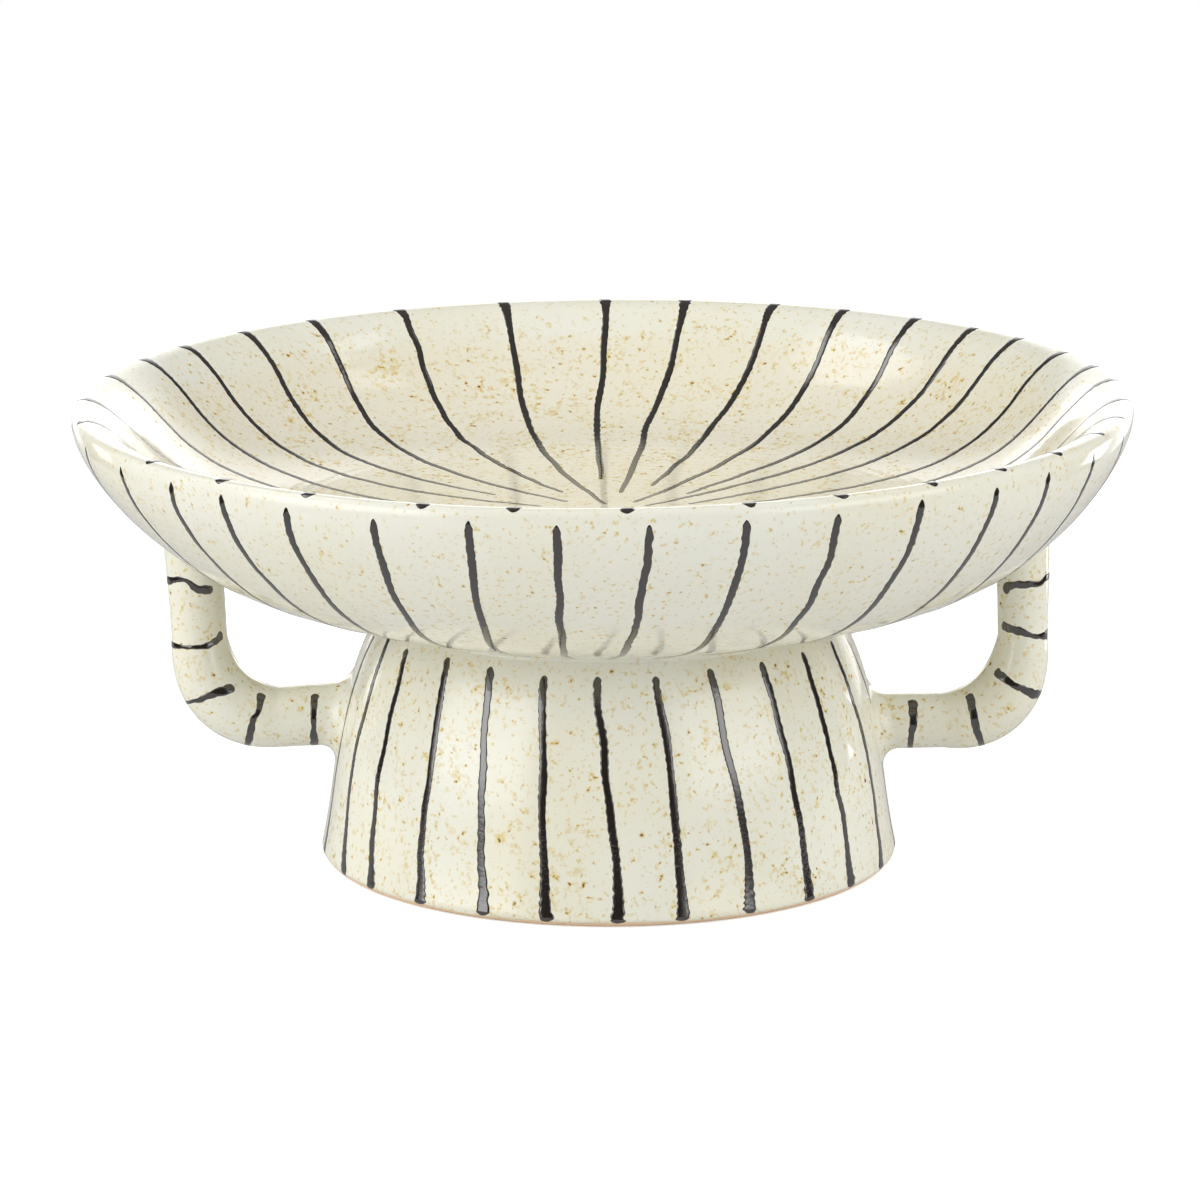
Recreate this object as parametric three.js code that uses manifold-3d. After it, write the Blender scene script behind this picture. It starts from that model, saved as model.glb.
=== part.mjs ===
// Footed stoneware dish: a wide shallow bowl on a bell-shaped foot, with a bent loop handle on each side.
// Millimetres, +Z up. The origin is on the axis of the dish, at the level of the table it stands on.

import * as THREE from "three";
import { mergeVertices } from "three/addons/utils/BufferGeometryUtils.js";
import Module from "manifold-3d";

const wasm = await Module();
wasm.setup();

// Bowl
const RIM_RADIUS = 110;
const RIM_HEIGHT = 97.5;
const LIP_THICKNESS = 5.6;
const FLOOR_HEIGHT = 71.3;
const BOWL_SKIN = 5;
const HOLLOW_RADIUS = 84;

// Foot
const WAIST_RADIUS = 47.5;
const WAIST_HEIGHT = 52.5;
const FOOT_RADIUS = 60.5;
const FOOT_WALL = 6.5;
const FOOT_EDGE_ROUND = 1.8;
const SEAT_MARGIN = 3;

// Handles
const HANDLE_DIAMETER = 12;
const HANDLE_REACH = 86.5;
const HANDLE_LEG_HEIGHT = 28.5;
const HANDLE_BEND_RADIUS = 16;

// Slip that lutes the pieces together, and the gap that each joint keeps
const WAIST_SLIP = 4.5;
const HANDLE_SLIP = 3.5;
const SLIP_EDGE = 0.4;
const JOINT_GAP = 0.3;

// Shape of the curves, as shares of the way from one end to the other
const UNDERSIDE_SLOPE = 0.26;
const UNDERSIDE_RUN = 0.8;
const FLANK_IN = 0.1;
const FLANK_DROP = 0.44;
const DISH_FLOOR_RUN = 0.757;
const DISH_FLOOR_RISE = 0.035;
const SHOULDER_OUT = 0.81;
const SHOULDER_UP = 0.655;
const SKIRT_OUT = 0.7;
const SKIRT_UP = 0.38;
const LIP_TURN = 0.75 * Math.PI;

// Fineness of the facets, and how far a piece runs into its neighbour before it is cut to fit
const TURNED_SIDES = 48;
const HANDLE_SIDES = 14;
const HANDLE_STEPS = 20;
const SLIP_SIDES = 20;
const CURVE_STEPS = 12;
const SKIN_STEPS = 6;
const ROUND_STEPS = 6;
const OVERRUN = 4;

const point = (radius, height) => new THREE.Vector2(radius, height);
const share = (from, to, part) => from + (to - from) * part;

// Joins shared corners and drops the empty triangles that a turned shape has on its axis.
function toSolid(geometry) {
  geometry.deleteAttribute("normal");
  geometry.deleteAttribute("uv");
  const merged = mergeVertices(geometry);
  const corners = merged.index.array;
  const kept = [];
  for (let i = 0; i < corners.length; i += 3) {
    const [a, b, c] = corners.slice(i, i + 3);
    if (a !== b && b !== c && c !== a) {
      kept.push(a, b, c);
    }
  }
  const vertProperties = new Float32Array(merged.attributes.position.array);
  const triVerts = new Uint32Array(kept);
  return new wasm.Manifold(new wasm.Mesh({ numProp: 3, vertProperties, triVerts }));
}

function toGeometry(solid) {
  const mesh = solid.getMesh();
  const geometry = new THREE.BufferGeometry();
  geometry.setAttribute("position", new THREE.BufferAttribute(mesh.vertProperties, 3));
  geometry.setIndex(new THREE.BufferAttribute(mesh.triVerts, 1));
  geometry.computeVertexNormals();
  return geometry;
}

// Turns an outline of radius and height round the Z axis.
// The outline runs from axis to axis, or closes on itself, with the material on its left.
function turnedGeometry(outline, sides) {
  return new THREE.LatheGeometry(outline, sides).rotateX(Math.PI / 2);
}

function turned(outline) {
  return toSolid(turnedGeometry(outline, TURNED_SIDES));
}

function disc(radius, bottom, top) {
  return turned([point(0, bottom), point(radius, bottom), point(radius, top), point(0, top)]);
}

// Points along a curve, moved sideways by a distance, to the right of the way the curve runs.
function pointsBeside(curve, steps, distance) {
  const points = [];
  for (let i = 0; i <= steps; i += 1) {
    const along = curve.getTangent(i / steps);
    const sideways = point(along.y, -along.x).multiplyScalar(distance);
    points.push(curve.getPoint(i / steps).add(sideways));
  }
  return points;
}

// The height and slope where a curve crosses a radius, or the radius and slope where it crosses a height.
function crossing(curve, axis, value) {
  const other = axis === "x" ? "y" : "x";
  const fineSteps = 400;
  const points = curve.getPoints(fineSteps);
  const passed = (p, i) => i > 0 && (p[axis] - value) * (points[i - 1][axis] - value) <= 0;
  const after = points.findIndex(passed);
  const [a, b] = [points[after - 1], points[after]];
  const slope = (b[other] - a[other]) / (b[axis] - a[axis]);
  return { at: a[other] + slope * (value - a[axis]), slope };
}

// Outline curves: the bowl's outside from waist to lip, the round of the lip, the dish inside it,
// and the bell of the foot
const lipRadius = LIP_THICKNESS / 2;
const lipCentre = point(RIM_RADIUS - lipRadius, RIM_HEIGHT - lipRadius);
const waist = point(WAIST_RADIUS, WAIST_HEIGHT);
const undersideReach = UNDERSIDE_RUN * (RIM_RADIUS - WAIST_RADIUS);
const outsideCurve = new THREE.CubicBezierCurve(
  waist,
  point(WAIST_RADIUS + undersideReach, WAIST_HEIGHT + UNDERSIDE_SLOPE * undersideReach),
  point(share(RIM_RADIUS, WAIST_RADIUS, FLANK_IN), share(lipCentre.y, WAIST_HEIGHT, FLANK_DROP)),
  point(RIM_RADIUS, lipCentre.y),
);
const lipCurve = new THREE.EllipseCurve(lipCentre.x, lipCentre.y, lipRadius, lipRadius, 0, LIP_TURN);
const lipInside = lipCurve.getPoint(1);
const wallFoot = point(DISH_FLOOR_RUN * lipInside.x, share(FLOOR_HEIGHT, lipInside.y, DISH_FLOOR_RISE));
const dishCurve = new THREE.CubicBezierCurve(lipInside, wallFoot, wallFoot, point(0, FLOOR_HEIGHT));
const bellCurve = new THREE.CubicBezierCurve(
  point(FOOT_RADIUS, FOOT_EDGE_ROUND),
  point(share(WAIST_RADIUS, FOOT_RADIUS, SKIRT_OUT), SKIRT_UP * WAIST_HEIGHT),
  point(share(WAIST_RADIUS, FOOT_RADIUS, SHOULDER_OUT), SHOULDER_UP * WAIST_HEIGHT),
  waist,
);

// Blocks that stand for the whole bowl and the whole foot, grown by a gap, to cut their neighbours to fit
function bowlBlock(gap) {
  const outside = pointsBeside(outsideCurve, CURVE_STEPS, gap);
  const middle = point(0, outside[0].y - UNDERSIDE_SLOPE * outside[0].x);
  return turned([middle, ...outside, point(RIM_RADIUS + gap, RIM_HEIGHT), point(0, RIM_HEIGHT)]);
}

function bellBlock(gap) {
  const outside = pointsBeside(bellCurve, CURVE_STEPS, gap);
  return turned([point(0, 0), point(outside[0].x, 0), ...outside, point(0, WAIST_HEIGHT + gap)]);
}

const bowlWithGap = bowlBlock(JOINT_GAP);
const bellWithGap = bellBlock(JOINT_GAP);

// The bowl is cast hollow: one skin follows the outside and one the dish, and they meet below the lip.
// The hollow between them opens downwards, inside the foot.
function bowl() {
  const middle = point(0, WAIST_HEIGHT - UNDERSIDE_SLOPE * WAIST_RADIUS);
  const outside = outsideCurve.getPoints(CURVE_STEPS);
  const lip = lipCurve.getPoints(ROUND_STEPS).slice(1);
  const dish = dishCurve.getPoints(CURVE_STEPS).slice(1);
  const body = turned([middle, ...outside, ...lip, ...dish]);

  const overSkin = pointsBeside(outsideCurve, CURVE_STEPS, -BOWL_SKIN);
  const hollowFloor = point(0, overSkin[0].y - UNDERSIDE_SLOPE * overSkin[0].x);
  const aboveSkin = turned([hollowFloor, ...overSkin, point(0, overSkin.at(-1).y)]);
  const underDish = pointsBeside(dishCurve, SKIN_STEPS, -BOWL_SKIN).reverse();
  underDish[0].x = 0;
  const aboveDish = turned([...underDish, point(underDish.at(-1).x, RIM_HEIGHT), point(0, RIM_HEIGHT)]);
  const core = disc(HOLLOW_RADIUS, 0, RIM_HEIGHT);
  const hollow = aboveSkin.subtract(aboveDish).intersect(core);

  const openingRadius = WAIST_RADIUS - FOOT_WALL - SEAT_MARGIN;
  const opening = disc(openingRadius, 0, WAIST_HEIGHT + BOWL_SKIN).subtract(aboveDish);
  return body.subtract(hollow).subtract(opening);
}

// The foot is an open bell with a flat ring to stand on.
// Its top is cut to the slope of the bowl's underside.
function foot() {
  const edge = new THREE.EllipseCurve(
    FOOT_RADIUS - FOOT_EDGE_ROUND,
    FOOT_EDGE_ROUND,
    FOOT_EDGE_ROUND,
    FOOT_EDGE_ROUND,
    -Math.PI / 2,
    0,
  );
  const outside = bellCurve.getPoints(CURVE_STEPS).slice(1);
  const inside = pointsBeside(bellCurve, SKIN_STEPS, -FOOT_WALL).reverse();
  const rise = bellCurve.getTangent(1).multiplyScalar(OVERRUN + FOOT_WALL);
  const outline = [
    ...edge.getPoints(ROUND_STEPS),
    ...outside,
    waist.clone().add(rise),
    inside[0].clone().add(rise),
    ...inside,
    point(inside.at(-1).x, 0),
  ];
  return turned([...outline, outline[0]]).subtract(bowlWithGap);
}

// A ring of slip fills the corner where the foot meets the bowl, with a hollow face outwards.
function waistSlip() {
  const alongBowl = outsideCurve.getTangent(0).multiplyScalar(WAIST_SLIP);
  const alongFoot = bellCurve.getTangent(1).multiplyScalar(-WAIST_SLIP);
  const lowEdge = waist.clone().add(alongFoot);
  const highEdge = waist.clone().add(alongBowl);
  const face = new THREE.QuadraticBezierCurve(lowEdge, waist, highEdge);
  const outline = [...face.getPoints(ROUND_STEPS), waist.clone().sub(alongFoot).sub(alongBowl)];
  return turned([...outline, outline[0]]).subtract(bowlWithGap).subtract(bellWithGap);
}

const handleRadius = HANDLE_DIAMETER / 2;
const bowlAtHandle = crossing(outsideCurve, "x", HANDLE_REACH);
const footAtHandle = crossing(bellCurve, "y", HANDLE_LEG_HEIGHT);
const bendRadius = Math.min(HANDLE_BEND_RADIUS, HANDLE_REACH - footAtHandle.at);

// A handle's centre line: straight down the upright, a quarter turn, then straight in towards the foot.
class HandlePath extends THREE.Curve {
  constructor(side, top, inner) {
    super();
    this.side = side;
    this.top = top;
    this.upright = top - HANDLE_LEG_HEIGHT - bendRadius;
    this.bend = (bendRadius * Math.PI) / 2;
    this.leg = HANDLE_REACH - bendRadius - inner;
  }

  getPoint(t, target = new THREE.Vector3()) {
    const along = t * (this.upright + this.bend + this.leg);
    const down = Math.min(along, this.upright);
    const angle = THREE.MathUtils.clamp((along - this.upright) / bendRadius, 0, Math.PI / 2);
    const inwards = Math.max(along - this.upright - this.bend, 0);
    const x = HANDLE_REACH - bendRadius * (1 - Math.cos(angle)) - inwards;
    const z = this.top - down - bendRadius * Math.sin(angle);
    return target.set(this.side * x, 0, z);
  }
}

function handle(side) {
  const corners = [];
  for (let i = 0; i < HANDLE_SIDES; i += 1) {
    const angle = (2 * Math.PI * i) / HANDLE_SIDES;
    corners.push(point(handleRadius * Math.cos(angle), handleRadius * Math.sin(angle)));
  }
  const top = bowlAtHandle.at + bowlAtHandle.slope * handleRadius + OVERRUN;
  const path = new HandlePath(side, top, footAtHandle.at - OVERRUN);
  const section = new THREE.Shape(corners);
  const rod = new THREE.ExtrudeGeometry(section, { steps: HANDLE_STEPS, extrudePath: path });
  return toSolid(rod).subtract(bowlWithGap).subtract(bellWithGap);
}

// A collar of slip round a handle's end, on the Z axis with its mouth at height 0, flared to meet its seat.
function collar() {
  const bore = handleRadius + JOINT_GAP;
  const flare = new THREE.QuadraticBezierCurve(
    point(bore + SLIP_EDGE, -HANDLE_SLIP),
    point(bore + SLIP_EDGE, 0),
    point(bore + HANDLE_SLIP, 0),
  );
  const outline = [
    point(bore, -HANDLE_SLIP),
    ...flare.getPoints(ROUND_STEPS),
    point(bore + HANDLE_SLIP, OVERRUN),
    point(bore, OVERRUN),
  ];
  return turnedGeometry([...outline, outline[0]], SLIP_SIDES);
}

// The collar leans with the bowl's underside, or with the side of the foot, before it is cut to fit.
function upperSlip(side) {
  const lean = new THREE.Matrix4().makeShear(0, side * bowlAtHandle.slope, 0, 0, 0, 0);
  const seated = collar().applyMatrix4(lean).translate(side * HANDLE_REACH, 0, bowlAtHandle.at);
  return toSolid(seated).subtract(bowlWithGap);
}

function lowerSlip(side) {
  const lean = new THREE.Matrix4().makeShear(0, 0, 0, 0, side * footAtHandle.slope, 0);
  const turnedIn = collar().rotateY((-side * Math.PI) / 2);
  const seated = turnedIn.applyMatrix4(lean).translate(side * footAtHandle.at, 0, HANDLE_LEG_HEIGHT);
  return toSolid(seated).subtract(bellWithGap);
}

// Finishes
const glaze = new THREE.MeshStandardMaterial({ color: "#e6e1cf", roughness: 0.16, metalness: 0 });

const dish = new THREE.Group();

function addPiece(name, solid, material) {
  const mesh = new THREE.Mesh(toGeometry(solid), material.clone());
  mesh.name = name;
  dish.add(mesh);
}

addPiece("dish_bowl", bowl(), glaze);
addPiece("pedestal_foot", foot(), glaze);
addPiece("waist_slip_ring", waistSlip(), glaze);
for (const [hand, side] of [["left", -1], ["right", 1]]) {
  addPiece(`handle_${hand}`, handle(side), glaze);
  addPiece(`handle_${hand}_upper_slip`, upperSlip(side), glaze);
  addPiece(`handle_${hand}_lower_slip`, lowerSlip(side), glaze);
}

export default dish;
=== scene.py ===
import math

import bpy
import numpy as np
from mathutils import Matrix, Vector


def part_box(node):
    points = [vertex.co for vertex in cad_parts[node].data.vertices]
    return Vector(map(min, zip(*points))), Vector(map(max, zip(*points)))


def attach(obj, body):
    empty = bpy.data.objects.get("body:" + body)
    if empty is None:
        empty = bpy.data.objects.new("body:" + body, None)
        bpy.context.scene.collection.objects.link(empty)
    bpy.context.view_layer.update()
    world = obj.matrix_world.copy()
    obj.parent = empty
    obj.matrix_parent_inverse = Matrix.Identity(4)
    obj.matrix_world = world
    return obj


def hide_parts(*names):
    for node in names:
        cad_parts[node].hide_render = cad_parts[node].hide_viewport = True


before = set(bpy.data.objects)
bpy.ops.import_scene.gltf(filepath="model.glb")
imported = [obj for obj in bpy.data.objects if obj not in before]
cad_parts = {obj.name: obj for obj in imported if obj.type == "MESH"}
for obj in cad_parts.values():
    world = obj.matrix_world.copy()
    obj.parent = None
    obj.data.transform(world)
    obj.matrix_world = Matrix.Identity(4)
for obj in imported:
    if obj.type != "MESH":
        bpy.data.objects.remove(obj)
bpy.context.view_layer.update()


# Pedestal foot: a bell of cast stoneware, open underneath, that the bowl stands on.
# It is dipped in cream glaze inside and out, and the glaze ends in a soft bead just above the table.

MM = 0.001
SIDES = 360
OUTLINE_STEPS = 1201
MESH_STEP = 15
FOOT_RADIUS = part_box("pedestal_foot")[1].x / MM
WAIST = (47.5, 52.5)
FOOT_WALL = 6.5
FOOT_EDGE_ROUND = 1.8
FOOT_EDGE_STEPS = 60
FOOT_EDGE_MESH_STEP = 5
FOOT_INSIDE_MESH_STEP = 40
FOOT_OVERRUN = 1.2
FOOT_IRON = 1.05
STRONG_IRON = 1.2
GLAZE_COAT = 0.3
GLAZE_EDGE_ANGLE = -28
GLAZE_EDGE_WAVE = 0.14
GLAZE_WAVE_HEIGHT = 3
BEAD_SWELL = 0.05
BEAD_OVERHANG = 4
BEAD_STEPS = 10
BEAD_END_STEP = 30
AFTER_BEAD_STEP = 34


def bezier(*corners, steps):
    """Points along a Bezier curve from end to end: its corners, weighted by the Bernstein shares."""
    t = np.linspace(0, 1, steps)[:, None]
    last = len(corners) - 1
    shares = [math.comb(last, k) * t**k * (1 - t) ** (last - k) for k in range(last + 1)]
    return sum(share * np.array(corner, float) for share, corner in zip(shares, corners))


def arc(centre, radius, start, end, steps):
    """Points round a circle between two angles in degrees: centre plus radius times cosine and sine."""
    angle = np.radians(np.linspace(start, end, steps))
    return np.array(centre) + radius * np.stack([np.cos(angle), np.sin(angle)], axis=-1)


def beside(outline, distance):
    """An outline moved sideways by a distance, to the left of the way that it runs."""
    along = np.gradient(outline, axis=0)
    along /= np.linalg.norm(along, axis=1, keepdims=True)
    return outline + distance * np.stack([-along[:, 1], along[:, 0]], axis=-1)


def turned(outline):
    """Rings of an outline carried round the Z axis: radius times cosine and sine of bearing, and height."""
    bearing = np.linspace(0, 2 * np.pi, SIDES, endpoint=False)
    radius = outline[:, :1]
    height = outline[:, 1:] + 0 * bearing
    return np.stack([radius * np.cos(bearing), radius * np.sin(bearing), height], axis=-1)


def marked(rings, amount):
    """Rings with one more number at each point: how much of a finish shows there."""
    return np.concatenate([rings, np.broadcast_to(amount, rings.shape[:2])[..., None]], axis=-1)


def closed_skin(rings, joined):
    """Corners and faces of a stack of rings: quads between neighbouring rings, and a fan over each end.
    A joined stack closes its last ring on its first instead. The sign of the volume turns faces outwards."""
    rows, columns = rings.shape[:2]
    points = rings.reshape(rows * columns, -1)
    number = np.arange(rows * columns).reshape(rows, columns)
    below = number if joined else number[:-1]
    above = np.roll(number, -1, axis=0) if joined else number[1:]
    corners = [below, np.roll(below, -1, axis=1), np.roll(above, -1, axis=1), above]
    quads = np.stack(corners, axis=-1).reshape(-1, 4)
    fans = []
    if not joined:
        ends = [(number[0, ::-1], rows * columns), (number[-1], rows * columns + 1)]
        fans = [np.stack([ring, np.roll(ring, -1), 0 * ring + tip], axis=-1) for ring, tip in ends]
        points = np.concatenate([points, rings[[0, -1]].mean(axis=1)])
    halves = np.concatenate([quads[:, [0, 1, 2]], quads[:, [0, 2, 3]], *fans])
    a, b, c = points[halves, :3].transpose(1, 0, 2)
    turn = 1 if np.sum(a * np.cross(b, c)) > 0 else -1
    return points, [face[:, ::turn] for face in (quads, *fans)]


def make_piece(name, stacks, material, finish, joined=False):
    """One smooth mesh object from stacks of marked rings in millimetres, with their amounts kept by name."""
    points = []
    faces = []
    count = 0
    for rings in stacks:
        skin, sides = closed_skin(rings, joined)
        points.append(skin)
        faces += [face + count for face in sides]
        count += len(skin)
    points = np.concatenate(points)
    sizes = np.concatenate([np.full(len(face), face.shape[1]) for face in faces])
    mesh = bpy.data.meshes.new(name)
    mesh.vertices.add(len(points))
    mesh.vertices.foreach_set("co", (points[:, :3] * MM).ravel())
    mesh.loops.add(sizes.sum())
    mesh.loops.foreach_set("vertex_index", np.concatenate([face.ravel() for face in faces]))
    mesh.polygons.add(len(sizes))
    mesh.polygons.foreach_set("loop_start", np.cumsum(sizes) - sizes)
    mesh.polygons.foreach_set("use_smooth", np.ones(len(sizes), bool))
    mesh.attributes.new(finish, "FLOAT", "POINT").data.foreach_set("value", points[:, 3])
    mesh.update(calc_edges=True)
    mesh.validate()
    mesh.materials.append(material)
    piece = bpy.data.objects.new(name, mesh)
    bpy.context.scene.collection.objects.link(piece)
    return piece


def linear(colour):
    """Linear red, green, blue and alpha of an sRGB hex colour."""
    channels = [int(colour[i : i + 2], 16) / 255 for i in (1, 3, 5)]
    return [c / 12.92 if c <= 0.04045 else ((c + 0.055) / 1.055) ** 2.4 for c in channels] + [1]


def add_node(material, kind, inputs, **settings):
    """Adds a node with its settings. Each input, by name or number, is a value or another node's output."""
    tree = material.node_tree
    node = tree.nodes.new(kind)
    for name, value in settings.items():
        setattr(node, name, value)
    for key, value in inputs.items():
        if isinstance(value, bpy.types.NodeSocket):
            tree.links.new(value, node.inputs[key])
        else:
            node.inputs[key].default_value = value
    return node


def new_material(name):
    """A material with nodes, and the Principled shader that it starts with."""
    material = bpy.data.materials.new(name)
    material.use_nodes = True
    return material, material.node_tree.nodes["Principled BSDF"]


def speckled_glaze():
    """Cream stoneware glaze over an iron-bearing body: glassy and smooth, with small ochre flakes that bled
    through in loose clouds, the larger ones with a brown middle. It is warmer where the iron is strongest.
    Faint rings and waves from turning and dipping bend its reflections."""
    glaze, shader = new_material("cream_speckled_stoneware_glaze")
    place = add_node(glaze, "ShaderNodeTexCoord", {}).outputs["Object"]
    iron = add_node(glaze, "ShaderNodeAttribute", {}, attribute_name="iron").outputs["Fac"]

    drift_size = 30 * MM
    drift = add_node(glaze, "ShaderNodeTexNoise", {"Vector": place, "Scale": 1 / drift_size, "Detail": 2})
    ramp = {"Value": drift.outputs["Fac"], "From Min": 0.35, "From Max": 0.65}
    thick = add_node(glaze, "ShaderNodeMapRange", ramp).outputs["Result"]
    creams = {0: thick, 6: linear("#e9e6d3"), 7: linear("#eae9dc")}
    colour = add_node(glaze, "ShaderNodeMix", creams, data_type="RGBA").outputs[2]
    ramp = {"Value": iron, "From Min": FOOT_IRON, "From Max": STRONG_IRON, "To Max": 0.65}
    warmth = add_node(glaze, "ShaderNodeMapRange", ramp).outputs["Result"]
    warmed = {0: warmth, 6: colour, 7: linear("#ebe4ce")}
    colour = add_node(glaze, "ShaderNodeMix", warmed, data_type="RGBA").outputs[2]

    cluster_size = 7 * MM
    cluster = add_node(glaze, "ShaderNodeTexNoise", {"Vector": place, "Scale": 1 / cluster_size, "Detail": 3})
    ramp = {"Value": cluster.outputs["Fac"], "From Min": 0.3, "From Max": 0.7}
    crowd = add_node(glaze, "ShaderNodeMapRange", ramp).outputs["Result"]
    crowd = add_node(glaze, "ShaderNodeMath", {0: crowd, 1: iron}, operation="MULTIPLY").outputs[0]

    # Each layer: grain in millimetres, detail of its noise, how far a crowd lifts it, where it starts to show
    # and where it is full, and its colour. The brown has the grain of the ochre that it is the middle of.
    layers = [
        (1.7, 3, 0.14, 0.65, 0.99, "#d4b428"),
        (1.2, 1, 0.08, 0.63, 0.87, "#d2b022"),
        (0.7, 1, 0.06, 0.76, 0.84, "#b98a2a"),
        (1.2, 1, 0.08, 0.78, 0.85, "#7d5517"),
    ]
    for grain, detail, lift, start, full, stain in layers:
        flakes = {"Vector": place, "Scale": 1 / (grain * MM), "Detail": detail, "Roughness": 0.6}
        flake = add_node(glaze, "ShaderNodeTexNoise", flakes).outputs["Fac"]
        lifted = {0: crowd, 1: lift, 2: flake}
        flake = add_node(glaze, "ShaderNodeMath", lifted, operation="MULTIPLY_ADD").outputs[0]
        ramp = {"Value": flake, "From Min": start, "From Max": full}
        amount = add_node(glaze, "ShaderNodeMapRange", ramp).outputs["Result"]
        stained = {0: amount, 6: colour, 7: linear(stain)}
        colour = add_node(glaze, "ShaderNodeMix", stained, data_type="RGBA").outputs[2]

    ring_spacing = 2.4 * MM
    ring_scale = 2 * np.pi / (20 * ring_spacing)
    rings = {"Vector": place, "Scale": ring_scale, "Distortion": 2.0, "Detail": 2, "Detail Scale": 0.6}
    ring = add_node(glaze, "ShaderNodeTexWave", rings, wave_type="RINGS", rings_direction="Z").outputs["Fac"]
    ringed = add_node(glaze, "ShaderNodeBump", {"Height": ring, "Distance": 0.012 * MM}).outputs["Normal"]
    dip_size = 9 * MM
    dips = {"Vector": place, "Scale": 1 / dip_size, "Detail": 1}
    dip = add_node(glaze, "ShaderNodeTexNoise", dips).outputs["Fac"]
    dipped = {"Height": dip, "Distance": 0.05 * MM, "Normal": ringed}
    waved = add_node(glaze, "ShaderNodeBump", dipped).outputs["Normal"]
    glaze.node_tree.links.new(colour, shader.inputs["Base Color"])
    glaze.node_tree.links.new(waved, shader.inputs["Normal"])
    shader.inputs["Roughness"].default_value = 0.07
    shader.inputs["IOR"].default_value = 1.52
    return glaze


cream_glaze = speckled_glaze()

edge_centre = (FOOT_RADIUS - FOOT_EDGE_ROUND, FOOT_EDGE_ROUND)
edge_arc = arc(edge_centre, FOOT_EDGE_ROUND, GLAZE_EDGE_ANGLE, 0, FOOT_EDGE_STEPS)
bell = bezier((FOOT_RADIUS, FOOT_EDGE_ROUND), (56.6, 20), (58, 34.4), WAIST, steps=OUTLINE_STEPS)
bead_start = arc(edge_centre, FOOT_EDGE_ROUND - GLAZE_COAT, GLAZE_EDGE_ANGLE, 0, 2)[0]
bead_swell = arc(edge_centre, FOOT_EDGE_ROUND + BEAD_SWELL, GLAZE_EDGE_ANGLE - BEAD_OVERHANG, 0, 2)[0]
bead = bezier(bead_start, bead_swell, edge_arc[BEAD_END_STEP], steps=BEAD_STEPS)
bell_inside = beside(bell, FOOT_WALL)[::-FOOT_INSIDE_MESH_STEP]
foot_rise = np.array([0, FOOT_OVERRUN])
hidden_foot = np.array([(bell_inside[-1, 0], FOOT_EDGE_ROUND), edge_centre])
foot_loop = np.concatenate([
    bead,
    edge_arc[AFTER_BEAD_STEP::FOOT_EDGE_MESH_STEP],
    bell[MESH_STEP::MESH_STEP],
    [bell[-1] + foot_rise, bell_inside[0] + foot_rise],
    bell_inside,
    hidden_foot,
])


def wavy_glaze_edge(rings):
    """The bottom edge of the glaze rises and falls: two sines of the bearing, which fade out further up."""
    bearing = np.arctan2(rings[..., 1], rings[..., 0])
    fade = np.clip(1 - rings[..., 2] / GLAZE_WAVE_HEIGHT, 0, 1)
    rings[..., 2] += GLAZE_EDGE_WAVE * fade * (np.sin(7 * bearing) + 0.6 * np.sin(17 * bearing + 2))
    return rings


foot_rings = wavy_glaze_edge(turned(foot_loop))
glazed_foot = make_piece("glazed_foot", [marked(foot_rings, FOOT_IRON)], cream_glaze, "iron", joined=True)
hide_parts("pedestal_foot")
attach(glazed_foot, "root")


# Bare foot ring: the clay of the foot where the glaze was wiped off, so that it wouldn't stick in the kiln.
# Peach-coloured fired stoneware, matt and a little gritty; the glaze stops on it in a bead.

RING_INNER_RADIUS = 54.1
RING_INNER_ROUND = 1
RING_TOP_INSET = 1.5
RING_OUTER_STEPS = 14
RING_INNER_STEPS = 8


def bare_stoneware():
    """Unglazed stoneware: a matt peach body with fine grit in its colour and surface."""
    clay, shader = new_material("bare_fired_stoneware")
    place = add_node(clay, "ShaderNodeTexCoord", {}).outputs["Object"]
    grit_size = 0.6 * MM
    grits = {"Vector": place, "Scale": 1 / grit_size, "Detail": 3}
    grit = add_node(clay, "ShaderNodeTexNoise", grits).outputs["Fac"]
    tones = {0: grit, 6: linear("#e6c19a"), 7: linear("#f0d8ba")}
    colour = add_node(clay, "ShaderNodeMix", tones, data_type="RGBA").outputs[2]
    rough = add_node(clay, "ShaderNodeBump", {"Height": grit, "Distance": 0.05 * MM}).outputs["Normal"]
    clay.node_tree.links.new(colour, shader.inputs["Base Color"])
    clay.node_tree.links.new(rough, shader.inputs["Normal"])
    shader.inputs["Roughness"].default_value = 0.75
    return clay


ring_round = FOOT_EDGE_ROUND - GLAZE_COAT
ring_top = 2 * FOOT_EDGE_ROUND
inner_centre = (RING_INNER_RADIUS + RING_INNER_ROUND, RING_INNER_ROUND)
ring_outline = np.concatenate([
    arc((edge_centre[0], ring_round), ring_round, -90, 0, RING_OUTER_STEPS),
    [(edge_centre[0], ring_top), (RING_INNER_RADIUS + RING_TOP_INSET, ring_top)],
    arc(inner_centre, RING_INNER_ROUND, 180, 270, RING_INNER_STEPS),
])
bare_foot_ring = make_piece(
    "bare_foot_ring", [marked(turned(ring_outline), 0)], bare_stoneware(), "iron", joined=True
)
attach(bare_foot_ring, "root")


# Bowl: a wide shallow dish with a thick rounded lip, cast hollow in two skins that meet below the lip.
# The same cream glaze covers it. By hand it ended a little to one side of the foot, and a little askew.

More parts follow.
